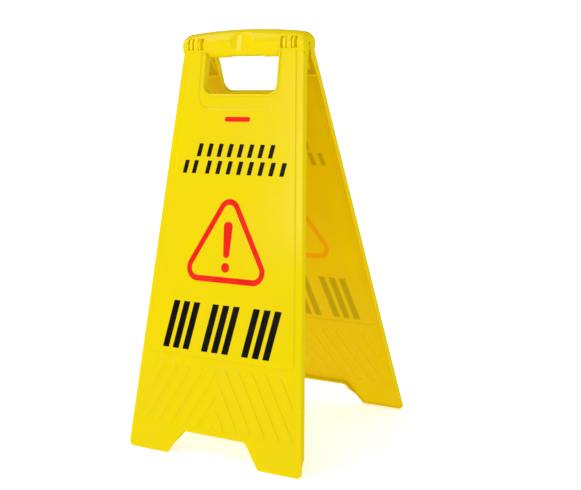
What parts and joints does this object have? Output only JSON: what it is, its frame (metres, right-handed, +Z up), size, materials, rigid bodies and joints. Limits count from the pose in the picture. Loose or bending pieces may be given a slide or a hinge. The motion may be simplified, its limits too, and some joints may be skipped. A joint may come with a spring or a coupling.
{
  "type": "folding floor sign",
  "caption": "Free-standing A-frame caution sign of two identical moulded leaves, hinged at a hollow carrying grip, with raised message panels, chevron ribs and notched feet.",
  "frame": {"origin": "on the floor, centred between the four feet, under the middle of the hinge axis", "axes": "+Z up, X along the hinge axis, -Y towards the front leaf's feet and +Y towards the rear leaf's feet, sign standing open"},
  "size_m": [0.3006, 0.3054, 0.5957],
  "materials": {
    "panel_plastic": "glossy injection-moulded polypropylene, yellow",
    "pin_plastic": "plain moulded polypropylene, darker yellow",
    "print_black": "screen-printed ink, black",
    "print_red": "screen-printed ink, red"
  },
  "bodies": {
    "front_leaf": {"front_panel": "panel_plastic", "hinge_pin_left": "pin_plastic", "hinge_pin_right": "pin_plastic"},
    "rear_leaf": {"rear_panel": "panel_plastic"}
  },
  "joints": [
    {"name": "fold", "type": "hinge", "parent": "front_leaf", "child": "rear_leaf", "pos_m": [0, 0, 0.57364], "axis": [-1, 0, 0], "range_deg": [0, 27.5]}
  ]
}
